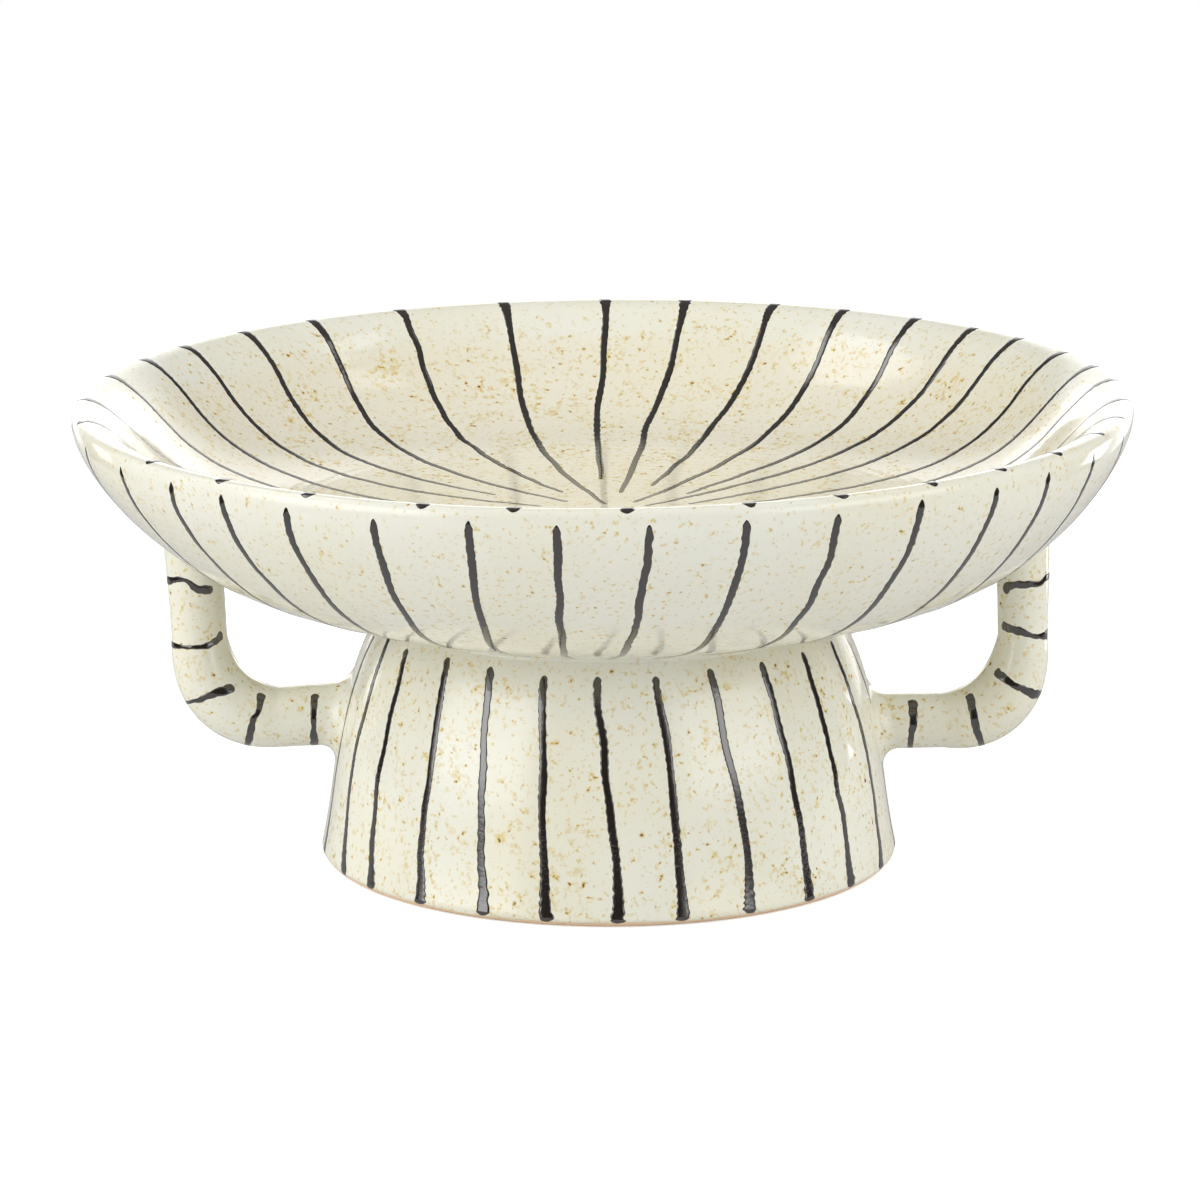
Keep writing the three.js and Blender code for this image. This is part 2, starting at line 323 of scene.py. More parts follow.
RIM_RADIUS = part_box("dish_bowl")[1].x / MM
RIM_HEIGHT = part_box("dish_bowl")[1].z / MM
LIP_FOOT = 94.7
DISH_FLOOR = 71.4
BOWL_SKIN = 5
HOLLOW_RADIUS = 84
OPENING_RADIUS = 38
OPENING_EDGE = 1
UNDERSIDE_SLOPE = 0.26
RIM_SHIFT = -1.35
RIM_TILT = 0.009
INSIDE_IRON = STRONG_IRON
LIP_IRON = 0.4
OUTSIDE_IRON = 0.62
LIP_IRON_RADII = (107, 96)
AXIS_HOLE = 0.4
LIP_STEPS = 201
LIP_MESH_STEP = 8
FLANK_MESH_STEP = 16
HIDDEN_MESH_STEP = 45

crest = (RIM_RADIUS - 0.8, RIM_HEIGHT + 0.6)
lip_inside = [(106.2, 97.57), (103.4, 95.6)]
lip = bezier((RIM_RADIUS, LIP_FOOT), (RIM_RADIUS, 97.3), crest, *lip_inside, steps=LIP_STEPS)
flank = bezier(WAIST, (86, 63.5), (84.3, 59.8), (RIM_RADIUS + 0.1, 83), lip[0], steps=OUTLINE_STEPS)
dish = bezier(lip[-1], (88.3, 85), (93.5, 67.1), (33, DISH_FLOOR), (0, DISH_FLOOR), steps=OUTLINE_STEPS)


def leaning(points):
    """Points of the bowl moved as it leans: a shift along X and a rise with X, each times a share of the
    height above the waist that eases from 0 to 1 at the rim."""
    share = np.clip((points[..., 2] - WAIST[1]) / (RIM_HEIGHT - WAIST[1]), 0, 1)
    share = share * share * (3 - 2 * share)
    moved = points.copy()
    moved[..., 0] += RIM_SHIFT * share
    moved[..., 2] += RIM_TILT * points[..., 0] * share
    return moved


def between(outline, low, high):
    """The stretch of an outline whose radius lies between two radii."""
    return outline[(outline[:, 0] > low) & (outline[:, 0] < high)]


def passed(radius, radii):
    """Share of the way in from one radius to another, easing at both: three squares less two cubes."""
    share = np.clip((radii[0] - radius) / (radii[0] - radii[1]), 0, 1)
    return share * share * (3 - 2 * share)


hollow_start = OPENING_RADIUS + OPENING_EDGE
over_skin = between(beside(flank, BOWL_SKIN), hollow_start, HOLLOW_RADIUS)[::-HIDDEN_MESH_STEP]
under_dish = between(beside(dish, BOWL_SKIN), AXIS_HOLE, HOLLOW_RADIUS)[::-HIDDEN_MESH_STEP]
opening_low = (OPENING_RADIUS, WAIST[1] - UNDERSIDE_SLOPE * (WAIST[0] - OPENING_RADIUS))
opening_high = (OPENING_RADIUS, over_skin[-1, 1] - UNDERSIDE_SLOPE * OPENING_EDGE)
opening = [opening_high, opening_low]
outer_side = np.concatenate([under_dish, over_skin, opening, flank[::FLANK_MESH_STEP]])
dish_side = between(dish[MESH_STEP::MESH_STEP], AXIS_HOLE, RIM_RADIUS)
inner_side = np.concatenate([lip[LIP_MESH_STEP::LIP_MESH_STEP], dish_side])
bowl_outline = np.concatenate([outer_side, inner_side])
inner_iron = LIP_IRON + (INSIDE_IRON - LIP_IRON) * passed(inner_side[:, 0], LIP_IRON_RADII)
bowl_iron = np.concatenate([np.full(len(outer_side), OUTSIDE_IRON), inner_iron])[:, None]
bowl_rings = leaning(turned(bowl_outline))
glazed_bowl = make_piece("glazed_bowl", [marked(bowl_rings, bowl_iron)], cream_glaze, "iron")
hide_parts("dish_bowl")
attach(glazed_bowl, "root")


# Waist slip ring: the liquid clay that lutes the bowl to the foot, sponged to a small hollow fillet.
# It is glazed over with them, so only a crisp line shows.

WAIST_FILLET = 0.8
WAIST_SUNK = 0.8
FILLET_STEPS = 14
WAIST_IRON = 0.6


def fillet_loop(low, corner, high, sunk):
    """A fillet in section: a quadratic curve from low to high that leans on the corner, closed by a point
    sunk past the corner. Each is an array of points, and the curve's steps come first in the result."""
    t = np.linspace(0, 1, FILLET_STEPS).reshape(-1, *[1] * np.ndim(low))
    face = (1 - t) ** 2 * low + 2 * t * (1 - t) * corner + t**2 * high
    return np.concatenate([face, sunk[None]])


waist_up = flank[1] - flank[0]
waist_down = bell[-2] - bell[-1]
waist_up /= np.linalg.norm(waist_up)
waist_down /= np.linalg.norm(waist_down)
waist_loop = fillet_loop(
    flank[0] + WAIST_FILLET * waist_down,
    flank[0],
    flank[0] + WAIST_FILLET * waist_up,
    flank[0] - WAIST_SUNK * (waist_up + waist_down),
)
waist_rings = marked(turned(waist_loop), WAIST_IRON)
waist_slip = make_piece("waist_slip", [waist_rings], cream_glaze, "iron", joined=True)
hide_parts("waist_slip_ring")
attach(waist_slip, "root")


# Handles: two rods of soft clay bent to an L, from the underside of the bowl down and in to the foot.
# They swell at the bend, and don't quite match: the left came out thicker. Slip collars lute on both ends,
# and their edges are tucked under what they join.

ROD_SIDES = 72
ROD_STEPS = 110
BEND_PULL = 0.64
BEND_STEPS = 200
STRAIGHT_STEPS = 80
END_SUNK = 1.5
UPPER_FILLET = 3.0
LOWER_FILLET = 4.5
SLIP_SUNK = 0.7
SLIP_TUCK = 0.05
HANDLE_IRON = 0.95

# Per handle, stations of its middle line: reach from the axis, height, and radius of the rod. They are its
# top, the start of the bend, the corner that the bend is pulled to, the end of the bend, and its end inside
# the foot.
handles = {
    "left": {
        "side": -1,
        "line": [(87.2, 72, 6.0), (85.9, 46, 5.8), (85.2, 28.6, 8.2), (69.5, 28.4, 6.4), (50, 29.6, 6.6)],
    },
    "right": {
        "side": 1,
        "line": [(86.7, 72, 5.8), (86.8, 46, 5.2), (86.3, 27.7, 8.4), (70.5, 27.7, 5.8), (50, 27.4, 5.9)],
    },
}


def distances(points):
    """Distance along a row of points to each of them: the running sum of its steps."""
    steps = np.linalg.norm(np.diff(points, axis=0), axis=1)
    return np.concatenate([[0], np.cumsum(steps)])


def rod_surface(hand):
    """Surface of a handle by the turn round its middle line, from the outer side, and the distance along it,
    with its whole length. The middle line is straight, then a cubic curve, then straight. A point lies a
    radius off it: the cosine of the turn outwards in the handle's plane, and the sine across."""
    top, start, corner, end, inside = (np.array(station) for station in hand["line"])
    pulls = [station + BEND_PULL * (corner - station) for station in (start, end)]
    bend = bezier(start, *pulls, end, steps=BEND_STEPS)
    upright = bezier(top, start, steps=STRAIGHT_STEPS)
    level = bezier(end, inside, steps=STRAIGHT_STEPS)
    line = np.concatenate([upright, bend[1:], level[1:]])
    outwards = beside(line[:, :2], 1) - line[:, :2]
    reach = distances(line[:, :2])
    columns = [*line.T, *outwards.T]
    side = hand["side"]

    def surface(turn, along):
        x, z, radius, out_x, out_z = (np.interp(along, reach, column) for column in columns)
        out = radius * np.cos(turn)
        across = -side * radius * np.sin(turn)
        return np.stack([side * (x + out * out_x), across, z + out * out_z], axis=-1)

    return surface, reach[-1]


def bowl_height(points):
    """Height of the bowl's outside over points, read off its outline at their radius."""
    return np.interp(np.hypot(points[..., 0], points[..., 1]), flank[:, 0], flank[:, 1])


def foot_reach(points):
    """Distance from the middle plane out to the side of the foot, level with points: the third side of a
    right triangle on the bell's radius at their height."""
    radius = np.interp(points[..., 2], bell[:, 1], bell[:, 0])
    return np.sqrt(radius**2 - points[..., 1] ** 2)


def spread(ring, axes, distance):
    """A ring moved away from its own middle by a distance, in the plane of two axes."""
    away = np.zeros_like(ring)
    away[:, axes] = ring[:, axes] - ring[:, axes].mean(axis=0)
    return ring + distance * away / np.linalg.norm(away, axis=1, keepdims=True)


for name, hand in handles.items():
    surface, length = rod_surface(hand)
    turn = np.linspace(0, 2 * np.pi, ROD_SIDES, endpoint=False)
    top_ring = surface(turn, 0 * turn)
    end_ring = surface(turn, 0 * turn + length)
    first = top_ring[:, 2] - bowl_height(top_ring)
    last = length - foot_reach(end_ring) + np.abs(end_ring[:, 0])
    share = np.linspace(0, 1, ROD_STEPS)[:, None]
    along = (first - END_SUNK) * (1 - share) + (last + END_SUNK) * share
    rod_rings = leaning(surface(turn + 0 * along, along))

    at_bowl = surface(turn, first)
    on_bowl = spread(at_bowl, [0, 1], UPPER_FILLET)
    on_bowl[:, 2] = bowl_height(on_bowl) + SLIP_TUCK
    upper = fillet_loop(
        spread(surface(turn, first + UPPER_FILLET), [0, 1], -SLIP_TUCK),
        spread(at_bowl, [0, 1], -SLIP_TUCK),
        on_bowl,
        spread(at_bowl, [0, 1], -SLIP_SUNK) + [0, 0, SLIP_SUNK],
    )

    at_foot = surface(turn, last)
    on_foot = spread(at_foot, [1, 2], LOWER_FILLET)
    on_foot[:, 0] = hand["side"] * (foot_reach(on_foot) - SLIP_TUCK)
    lower = fillet_loop(
        spread(surface(turn, last - LOWER_FILLET), [1, 2], -SLIP_TUCK),
        spread(at_foot, [1, 2], -SLIP_TUCK),
        on_foot,
        spread(at_foot, [1, 2], -SLIP_SUNK) - [hand["side"] * SLIP_SUNK, 0, 0],
    )

    pieces = [
        (f"glazed_handle_{name}", rod_rings, False, f"handle_{name}"),
        (f"slip_upper_{name}", leaning(upper), True, f"handle_{name}_upper_slip"),
        (f"slip_lower_{name}", lower, True, f"handle_{name}_lower_slip"),
    ]
    for piece_name, rings, joined, node in pieces:
        piece = make_piece(piece_name, [marked(rings, HANDLE_IRON)], cream_glaze, "iron", joined)
        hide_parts(node)
        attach(piece, "root")


# Inside stripes: brush strokes of iron-black glaze, from a blob on the lip down the wall and in to the floor.
# The brush starts full and wide, thins on the way, and lifts off nearer to the middle or further each time.

STROKE_ROWS = 160
STROKE_COLUMNS = 7
STROKE_RISE = 0.06
STROKE_SUNK = 0.2
STROKE_THINNEST = 0.01
TIP_POWER = 0.6
EDGE_ROUGHNESS = 0.1
EDGE_SPACING = 1.8
SWAY_SPACING = 13
WIDTH_WAVER = 0.06
WIDTH_SPACING = 12
LIP_START = RIM_RADIUS - 0.5
LIP_START_SPREAD = 0.12
BLOB_WIDTH = 3.0
BLOB_LENGTH = 5.5
INSIDE_WIDTH = 1.47
INSIDE_THINNING = 0.35
INSIDE_SWAY = 0.13
INSIDE_TIPS = (1.6, 0.8)
INSIDE_SEED = 11
WALL_DRIFT_RADII = (102, 72)
FLOOR_DRIFT_RADII = (82, 38)
FLOOR_RADIUS = 72
FRONT_WALL_DRIFT = 2
FRONT_LIFT_OFF = (14, 36)


def brushed_glaze():
    """Iron-black brush glaze: shinier than the cream, browner where it thins out at the edge of a stroke,
    with a slight grain that breaks its reflections."""
    paint, shader = new_material("iron_black_brush_glaze")
    place = add_node(paint, "ShaderNodeTexCoord", {}).outputs["Object"]
    body = add_node(paint, "ShaderNodeAttribute", {}, attribute_name="body").outputs["Fac"]
    ramp = {"Value": body, "From Min": 0.0, "From Max": 0.35}
    full = add_node(paint, "ShaderNodeMapRange", ramp).outputs["Result"]
    tones = {0: full, 6: linear("#43301c"), 7: linear("#211913")}
    colour = add_node(paint, "ShaderNodeMix", tones, data_type="RGBA").outputs[2]
    grain_size = 0.9 * MM
    grain = add_node(paint, "ShaderNodeTexNoise", {"Vector": place, "Scale": 1 / grain_size, "Detail": 2})
    rough = {"Height": grain.outputs["Fac"], "Distance": 0.03 * MM}
    grained = add_node(paint, "ShaderNodeBump", rough).outputs["Normal"]
    paint.node_tree.links.new(colour, shader.inputs["Base Color"])
    paint.node_tree.links.new(grained, shader.inputs["Normal"])
    shader.inputs["Roughness"].default_value = 0.1
    shader.inputs["IOR"].default_value = 2.1
    return paint


stripe_glaze = brushed_glaze()


def waver(distance, spacing, chance):
    """A smooth random line within about 1 of zero: four sines of distance with random lengths and starts."""
    lengths = spacing * chance.uniform(0.6, 2.2, 4)
    starts = chance.uniform(0, 2 * np.pi, 4)
    return np.sin(distance[:, None] * 2 * np.pi / lengths + starts).sum(axis=1) / 2


def brush_stroke(surface, turn, along, width, tips, sway, chance):
    """Rings of a brush stroke on a surface of two parameters, turn and along, which cross at right angles.
    Its middle line is given by both, and sways. Points lie across it at shares of the half width, which
    closes over the length of a tip at each end. The top swells by one less the fourth power of the share,
    times the root of how full the width is, and the bottom is sunk."""
    tiny_turn = 1e-4
    tiny_along = 0.05

    def slopes(turn, along):
        """Change of place with turn and with along, and the unit normal that both make."""
        by_turn = (surface(turn + tiny_turn, along) - surface(turn - tiny_turn, along)) / (2 * tiny_turn)
        by_along = (surface(turn, along + tiny_along) - surface(turn, along - tiny_along)) / (2 * tiny_along)
        normal = np.cross(by_turn, by_along)
        return by_turn, by_along, normal / np.linalg.norm(normal, axis=-1, keepdims=True)

    middle = surface(turn, along)
    distance = distances(middle)
    by_turn, by_along, normal = slopes(turn, along)
    sideways = np.cross(normal, np.gradient(middle, axis=0))
    sideways /= np.linalg.norm(sideways, axis=1, keepdims=True)
    turn_step = np.sum(sideways * by_turn, axis=1) / np.sum(by_turn**2, axis=1)
    along_step = np.sum(sideways * by_along, axis=1) / np.sum(by_along**2, axis=1)

    half = width / 2
    for end, tip in zip((distance, distance[-1] - distance), tips):
        half = half * (1 - (1 - np.clip(end / tip, 0, 1)) ** 2) ** TIP_POWER
    half = np.maximum(half, STROKE_THINNEST)
    share = np.linspace(-1, 1, STROKE_COLUMNS)
    rough_edges = [1 + EDGE_ROUGHNESS * waver(distance, EDGE_SPACING, chance)[:, None] for side in (-1, 1)]
    offset = sway * waver(distance, SWAY_SPACING, chance)[:, None]
    reach = half[:, None] * share * np.where(share < 0, *rough_edges) + offset
    turns = turn[:, None] + reach * turn_step[:, None]
    alongs = along[:, None] + reach * along_step[:, None]
    base = surface(turns, alongs)
    normal = slopes(turns, alongs)[2]
    swell = (1 - share**4) * np.clip(half / half.max(), 0, 1)[:, None] ** 0.5
    top = base + normal * (STROKE_RISE * swell)[..., None]
    bottom = base - normal * STROKE_SUNK
    body = np.concatenate([swell, 0 * swell], axis=1)
    return marked(np.concatenate([top, bottom[:, ::-1]], axis=1), body)


def eased(count):
    """Shares from 0 to 1, close together at both ends: half of one less the cosine of an even half turn."""
    return 0.5 - 0.5 * np.cos(np.linspace(0, np.pi, count))


def turned_surface(outline):
    """Surface of a leaning turned outline, by bearing in radians and distance along the outline."""
    reach = distances(outline)

    def surface(bearing, along):
        radius = np.interp(along, reach, outline[:, 0])
        height = np.interp(along, reach, outline[:, 1])
        return leaning(np.stack([radius * np.cos(bearing), radius * np.sin(bearing), height], axis=-1))

    return surface


inside_outline = np.concatenate([lip, dish[1:]])
inside_surface = turned_surface(inside_outline)
inside_reach = distances(inside_outline)

# Per stroke: bearing at the rim, degrees that it drifts down the wall and then over the floor, millimetres
# by which it misses the middle, and distance from the middle where the brush lifts off. The bearings of the
# rest of the round follow.
inside_strokes = [
    (179.5, -4.3, -1, 0, 30), (166.4, 0.4, 3, 0, 26), (156.4, 1.2, 4, 0, 26),
    (147.7, 1.4, 1, -4.5, 18), (137.1, 2.7, 0, -4.8, 33), (126.8, 2.2, 0.8, -5.3, 18),
    (114.9, 1.0, 0, -4.3, 27), (101.9, 0.9, 1, -3.7, 13), (89.6, 1.9, 0, 0, 38),
    (80, 2.9, 0.2, 0, 25), (69, 2.8, 1.3, 0, 33), (59.9, 1.5, 1.6, 2, 16),
    (49.8, 0.7, 3.9, 0, 29), (40.7, 2.8, 3, 2.5, 14), (32.7, 2.2, 2.6, 0.5, 22),
    (23, 0.4, 2.5, 0, 30), (14.3, 1.2, 0.5, 0, 26), (6.5, 1.2, -1, 0, 26),
]
front_bearings = [355.5, 346, 337, 326, 316, 306, 295, 285, 272.5, 261, 251.5, 238.5, 227, 214.5, 191.5]
chance = np.random.default_rng(INSIDE_SEED)
for bearing in front_bearings:
    inside_strokes.append((bearing, FRONT_WALL_DRIFT, 0, 0, chance.uniform(*FRONT_LIFT_OFF)))

stacks = []
for bearing, wall_drift, floor_drift, miss, lift_off in inside_strokes:
    share = eased(STROKE_ROWS)
    start = LIP_START + chance.uniform(-LIP_START_SPREAD, LIP_START_SPREAD)
    radius = start + (lift_off - start) * share
    along = np.interp(-radius, -inside_outline[:, 0], inside_reach)
    drift = wall_drift * passed(radius, WALL_DRIFT_RADII) + floor_drift * passed(radius, FLOOR_DRIFT_RADII)
    aside = np.arcsin(miss / radius) - np.arcsin(miss / FLOOR_RADIUS)
    turn = np.radians(bearing + drift) + np.where(radius < FLOOR_RADIUS, aside, 0)
    travelled = along - along[0]
    width = INSIDE_WIDTH + (BLOB_WIDTH - INSIDE_WIDTH) * np.exp(-((travelled / BLOB_LENGTH) ** 2))
    width = width * (1 + WIDTH_WAVER * waver(travelled, WIDTH_SPACING, chance))
    width = width * (1 - INSIDE_THINNING * share**6)
    stacks.append(brush_stroke(inside_surface, turn, along, width, INSIDE_TIPS, INSIDE_SWAY, chance))
inside_stripes = make_piece("inside_stripes", stacks, stripe_glaze, "body")
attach(inside_stripes, "root")


# Outside stripes: the same strokes down the outside of the bowl, from just under the lip to the waist.
# Each starts with the pointed tip of a loaded brush.

OUTSIDE_TOP = 95.1
OUTSIDE_TOP_SPREAD = 0.9
OUTSIDE_END_RADIUS = 49.5
OUTSIDE_END_SPREAD = (-0.6, 1.2)
LIP_SIDE_STEPS = 60
DRIFT_RADIUS = 82
OUTSIDE_WIDTH = 1.65
OUTSIDE_THINNING = 0.2
OUTSIDE_SWAY = 0.15
OUTSIDE_TIPS = (2.2, 0.8)
OUTSIDE_SEED = 23
OUTSIDE_BACK_START = 366.5
OUTSIDE_BACK_SPACING = 9.97
OUTSIDE_BACK_COUNT = 18

# Per stroke: bearing under the lip, and degrees that it drifts on the way in to the drift radius. Those of
# the back are straight and evenly spaced.
outside_strokes = [
    (186, -2), (198, -2), (209.4, -2), (219.5, -1.6), (227.6, -0.8), (236.2, -1.5),
    (246.5, -2), (256.6, -2.7), (265.5, -1.7), (274.6, -2.2), (284.5, -1.9), (294.2, -0.8),
    (304, -0.6), (314.3, 0.3), (323.1, 1.8), (333.1, 2.5), (344, 1.2), (357, 1.2),
]
for step in range(OUTSIDE_BACK_COUNT):
    outside_strokes.append((OUTSIDE_BACK_START + OUTSIDE_BACK_SPACING * step, 0))
outside_outline = np.concatenate([flank, lip[1:LIP_SIDE_STEPS]])
outside_surface = turned_surface(outside_outline)
outside_reach = distances(outside_outline)
chance = np.random.default_rng(OUTSIDE_SEED)
stacks = []
for bearing, drift in outside_strokes:
    top_height = OUTSIDE_TOP - chance.uniform(0, OUTSIDE_TOP_SPREAD)
    top = np.interp(top_height, outside_outline[:, 1], outside_reach)
    end_radius = OUTSIDE_END_RADIUS + chance.uniform(*OUTSIDE_END_SPREAD)
    end = np.interp(end_radius, flank[:, 0], outside_reach[: len(flank)])
    share = eased(STROKE_ROWS)
    along = top + (end - top) * share
    radius = np.interp(along, outside_reach, outside_outline[:, 0])
    turn = np.radians(bearing + drift * (RIM_RADIUS - radius) / (RIM_RADIUS - DRIFT_RADIUS))
    width = OUTSIDE_WIDTH * (1 + WIDTH_WAVER * waver(top - along, WIDTH_SPACING, chance))
    width = width * (1 - OUTSIDE_THINNING * share)
    stacks.append(brush_stroke(outside_surface, turn, along, width, OUTSIDE_TIPS, OUTSIDE_SWAY, chance))
outside_stripes = make_piece("outside_stripes", stacks, stripe_glaze, "body")
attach(outside_stripes, "root")


# Foot stripes: strokes down the bell from just below the waist to the edge of the glaze, most of them leaning
# one way. The brush presses flat at the bottom, so each ends a little wider.

FOOT_TOP = 50.6
FOOT_TOP_SPREAD = 1.4
FOOT_END = 1.0
STROKE_OVERRUN = 25
FOOT_STROKE_WIDTH = 1.65
FOOT_SWAY = 0.2
FOOT_TIPS = (1.2, 0.8)
FOOT_SEED = 37
FOOT_LINE_STEPS = 100
FOOT_BACK_FIRST = (364, 365, 367, 368)
FOOT_BACK_SPACING = 13.5
FOOT_BACK_COUNT = 13

# Per stroke: bearing at the top, two bearings that pull its line sideways on the way down, and bearing at the
# bottom. Those of the back repeat one line at even spacing.
foot_strokes = [
    (190.6, 191.5, 186.4, 188.7), (201.7, 206, 197, 205), (212.7, 217, 211, 216),
    (227.4, 232.5, 227, 230.6), (240.6, 243.5, 242.5, 245.2), (254.4, 256.7, 256, 258),
    (267.3, 268, 272.3, 271.6), (280.8, 283, 283.8, 284.3), (294.7, 294, 300.5, 298.2),
    (309.4, 308.5, 314, 312.5), (324, 321, 328, 325.4), (338.5, 336.5, 345.5, 339.3),
    (351, 352, 357, 356),
]
for step in range(FOOT_BACK_COUNT):
    foot_strokes.append([bearing + FOOT_BACK_SPACING * step for bearing in FOOT_BACK_FIRST])

# The end of a stroke can run on a little way under the edge of the glaze
stroke_edge_start = GLAZE_EDGE_ANGLE - STROKE_OVERRUN
stroke_edge = arc(edge_centre, FOOT_EDGE_ROUND, stroke_edge_start, 0, FOOT_EDGE_STEPS)
foot_outline = np.concatenate([stroke_edge, bell[1:]])
foot_surface = turned_surface(foot_outline)
foot_along = distances(foot_outline)
chance = np.random.default_rng(FOOT_SEED)
stacks = []
for bearings in foot_strokes:
    top = np.interp(FOOT_TOP - chance.uniform(0, FOOT_TOP_SPREAD), foot_outline[:, 1], foot_along)
    end = np.interp(FOOT_END, foot_outline[:, 1], foot_along)
    share = eased(STROKE_ROWS)
    along = top + (end - top) * share
    line = bezier(*bearings, steps=FOOT_LINE_STEPS)[:, 0]
    turn = np.radians(np.interp(share, np.linspace(0, 1, FOOT_LINE_STEPS), line))
    width = FOOT_STROKE_WIDTH * (1 + WIDTH_WAVER * waver(top - along, WIDTH_SPACING, chance) + share**10)
    stacks.append(brush_stroke(foot_surface, turn, along, width, FOOT_TIPS, FOOT_SWAY, chance))
foot_stripes = make_piece("foot_stripes", stacks, stripe_glaze, "body")
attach(foot_stripes, "root")


# Handle bands: short strokes across the handles in the same iron-black glaze, from a blob at the edge of the
# finger gap round the outside of the rod to the same edge behind.

BAND_STEPS = 12
BAND_SWAY = 0.12
BAND_TIPS = (0.9, 0.9)
BAND_SEED = 41
BAND_WAVER = 0.08
BAND_WAVER_SPACING = 6
BAND_RADIUS = 6

# Per band, stations from its blob to the outer side: degrees from the outer side, distance along the handle,
# and width. It runs on behind as it came.
bands = {
    "left": [
        [(132, 15.1, 2.0), (98, 14.5, 1.7), (70, 12.5, 1.0), (19, 13.5, 1.8)],
        [(152, 25.3, 2.3), (112, 26.8, 1.3), (70, 27.1, 0.8), (32, 27.1, 1.2)],
        [(128, 39.4, 2.1), (91, 37.6, 1.8), (60, 37.3, 1.0), (40, 37.1, 0.8)],
        [(146, 48.2, 2.1), (110, 48.6, 1.3), (94, 48.0, 1.3), (58, 48.2, 1.5)],
        [(147, 61.3, 1.8), (101, 60.9, 1.2), (81, 60.7, 1.2), (54, 60.4, 1.7)],
    ],
    "right": [
        [(134, 16.2, 2.0), (128, 14.4, 2.0), (90, 13.8, 1.5), (54, 13.8, 1.2), (30, 12.9, 1.5)],
        [(151, 23.1, 2.2), (100, 23.8, 1.7), (64, 25.0, 1.0), (21, 25.4, 2.1)],
        [(139, 34.4, 2.2), (98, 35.4, 1.5), (66, 35.5, 1.5), (45, 35.8, 2.0)],
        [(147, 45.8, 2.1), (108, 47.1, 1.7), (77, 47.7, 1.5), (56, 47.6, 1.5)],
        [(153, 60.4, 2.1), (102, 60.4, 1.7), (88, 60.5, 1.6), (64, 60.8, 1.3)],
    ],
}


def through(stations, steps):
    """A smooth line through stations: between two of them a cubic curve, which at each end runs along the
    line from the station before to the one after."""
    points = np.array([stations[0], *stations, stations[-1]], float)
    runs = [points[1:2]]
    for before, start, end, after in zip(points, points[1:], points[2:], points[3:]):
        run = bezier(start, start + (end - before) / 6, end - (after - start) / 6, end, steps=steps)
        runs.append(run[1:])
    return np.concatenate(runs)


def leaned(surface):
    """A surface of turn and along that leans with the bowl."""
    return lambda turn, along: leaning(surface(turn, along))


chance = np.random.default_rng(BAND_SEED)
for name, hand in handles.items():
    surface = leaned(rod_surface(hand)[0])
    stacks = []
    for stations in bands[name]:
        front = [(-turn, along, width) for turn, along, width in stations]
        turn, along, width = through(front + stations[::-1], BAND_STEPS).T
        turn = np.radians(turn)
        width = width * (1 + BAND_WAVER * waver(BAND_RADIUS * turn, BAND_WAVER_SPACING, chance))
        stacks.append(brush_stroke(surface, turn, along, width, BAND_TIPS, BAND_SWAY, chance))
    piece = make_piece(f"handle_bands_{name}", stacks, stripe_glaze, "body")
    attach(piece, "root")


# Studio: a white floor in a dim room, with a bright backdrop, two panels and two low strips behind, softboxes
# at the front corners and high at both sides, and fills that leave no reflection. The glaze mirrors only a
# sheet of the white floor.

FLOOR_SIZE = 2.2
SHEET_HALF_WIDTH = 0.26
SHEET_FRONT = -0.42
SHEET_BACK = 6.0
FLOOR_DROP = -0.05 * MM
PAPER_WHITE = 0.78
SEEN_GLOW = 0.5
MIRRORED_GLOW = 0.45
ROOM_LOW = 0.06
ROOM_TOP = 0.22
ROOM_LOW_RISE = 0.2
ROOM_TOP_RISE = 0.75
BACKDROP = 1.7
BACKDROP_TURN = math.radians(5)
BACKDROP_EDGE = 0.76
BACKDROP_FULL = 0.92
BACKDROP_TOP_RISE = 0.62
BACKDROP_FULL_RISE = 0.3
SOFT_EDGE = 0.35
LAMP_DISTANCE = 1.3
NEAR_DISTANCE = 0.5
AIM = Vector((0, 0, 0.06))
SENSOR = 36
LENS = 176.7
CAMERA_PLACE = (-1.85 * MM, -1200 * MM, 341.5 * MM)
CAMERA_DIP = 13.49

scene = bpy.context.scene
scene.view_settings.view_transform = "Standard"


def flat_sheet(name, half_width, front, back, material):
    """A level rectangle at the height of the floor."""
    edges = ((-half_width, front), (half_width, front), (half_width, back), (-half_width, back))
    mesh = bpy.data.meshes.new(name)
    mesh.from_pydata([(x, y, FLOOR_DROP) for x, y in edges], [], [(0, 1, 2, 3)])
    mesh.materials.append(material)
    sheet = bpy.data.objects.new(name, mesh)
    scene.collection.objects.link(sheet)
    return sheet


white_paper, shader = new_material("white_studio_paper")
shader.inputs["Base Color"].default_value = (PAPER_WHITE, PAPER_WHITE, PAPER_WHITE, 1)
shader.inputs["Roughness"].default_value = 0.9
shader.inputs["Specular IOR Level"].default_value = 0.0
shader.inputs["Emission Color"].default_value = (1, 1, 1, 1)
rays = add_node(white_paper, "ShaderNodeLightPath", {}).outputs
mirrored = {0: rays["Is Glossy Ray"], 1: rays["Is Transmission Ray"]}
mirrored = add_node(white_paper, "ShaderNodeMath", mirrored, operation="MAXIMUM").outputs[0]
glow = {0: mirrored, 1: MIRRORED_GLOW}
glow = add_node(white_paper, "ShaderNodeMath", glow, operation="MULTIPLY").outputs[0]
seen = {0: rays["Is Camera Ray"], 1: SEEN_GLOW, 2: glow}
glow = add_node(white_paper, "ShaderNodeMath", seen, operation="MULTIPLY_ADD").outputs[0]
white_paper.node_tree.links.new(glow, shader.inputs["Emission Strength"])

